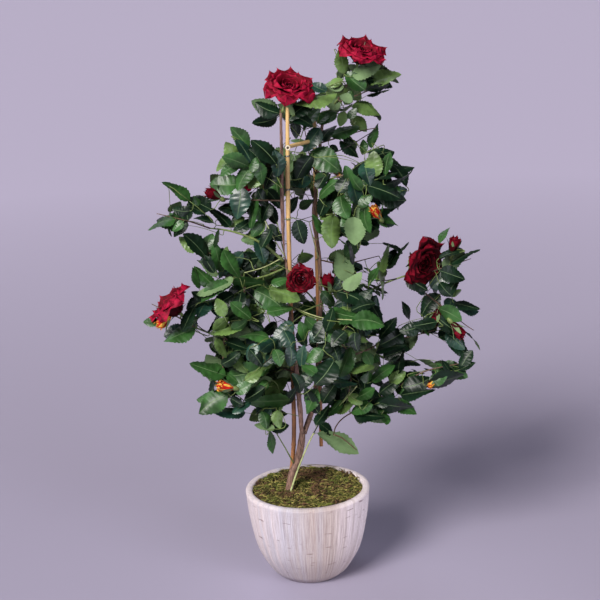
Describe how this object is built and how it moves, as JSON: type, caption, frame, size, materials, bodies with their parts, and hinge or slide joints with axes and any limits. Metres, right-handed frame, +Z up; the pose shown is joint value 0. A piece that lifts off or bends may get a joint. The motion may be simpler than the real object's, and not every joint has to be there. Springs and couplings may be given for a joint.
{
  "type": "potted artificial rose bush",
  "caption": "Artificial rose bush with a forked woody trunk, cane uprights and an open leafy crown with large red blooms, set in a mossed, whitewashed bowl pot.",
  "frame": {"origin": "centre of the flat underside of the pot", "axes": "+Z up the plant, -Y to the front, +X to the side with the longer low arms"},
  "size_m": [0.7379, 0.4664, 1.2048],
  "materials": {
    "pot": "matt whitewash over fine upright ribs",
    "filling": "rough cast",
    "moss": "matt, stringy",
    "bark": "rough bark",
    "cane": "satin cane with nodes",
    "twig": "satin",
    "leaf": "glossy above, pale and matt below",
    "petal": "velvety",
    "bud": "velvety"
  },
  "bodies": {
    "root": {"back_left_foliage": "leaf", "back_low_bough": "twig", "back_low_left_foliage": "leaf", "back_low_right_foliage": "leaf", "back_middle_bough": "twig", "back_middle_foliage": "leaf", "back_right_foliage": "leaf", "back_upper_bough": "twig", "back_upper_foliage": "leaf", "cane_rung": "cane", "centre_rose_foliage": "leaf", "droop_right_foliage": "leaf", "front_foliage": "leaf", "front_left_foliage": "leaf", "front_right_foliage": "leaf", "green_shoot": "twig", "heart_foliage": "leaf", "left_arm_bough": "twig", "left_arm_foliage": "leaf", "left_cane": "cane", "left_rose_bough": "twig", "left_rose_foliage": "leaf", "left_stem": "bark", "left_waist_foliage": "leaf", "low_left_foliage": "leaf", "low_left_outer_foliage": "leaf", "low_left_twig": "twig", "low_left_under_foliage": "leaf", "low_right_foliage": "leaf", "low_right_twig": "twig", "mid_left_bough": "twig", "mid_left_foliage": "leaf", "mid_left_outer_foliage": "leaf", "mid_right_foliage": "leaf", "moss": "moss", "pot": "pot", "pot_filling": "filling", "right_cane": "cane", "right_low_bough": "twig", "right_low_foliage": "leaf", "right_low_outer_foliage": "leaf", "right_outer_bough": "twig", "right_outer_foliage": "leaf", "right_rose_bough": "twig", "right_rose_foliage": "leaf", "right_shoulder_foliage": "leaf", "right_stem": "bark", "right_under_foliage": "leaf", "top_left_bough": "twig", "top_left_foliage": "leaf", "top_right_bough": "twig", "top_right_foliage": "leaf", "top_right_inner_foliage": "leaf", "trunk": "bark", "upper_left_bough": "twig", "upper_left_foliage": "leaf", "upper_left_low_foliage": "leaf", "upper_right_bough": "twig", "upper_right_foliage": "leaf", "upper_right_tip_foliage": "leaf"}
  },
  "joints": []
}
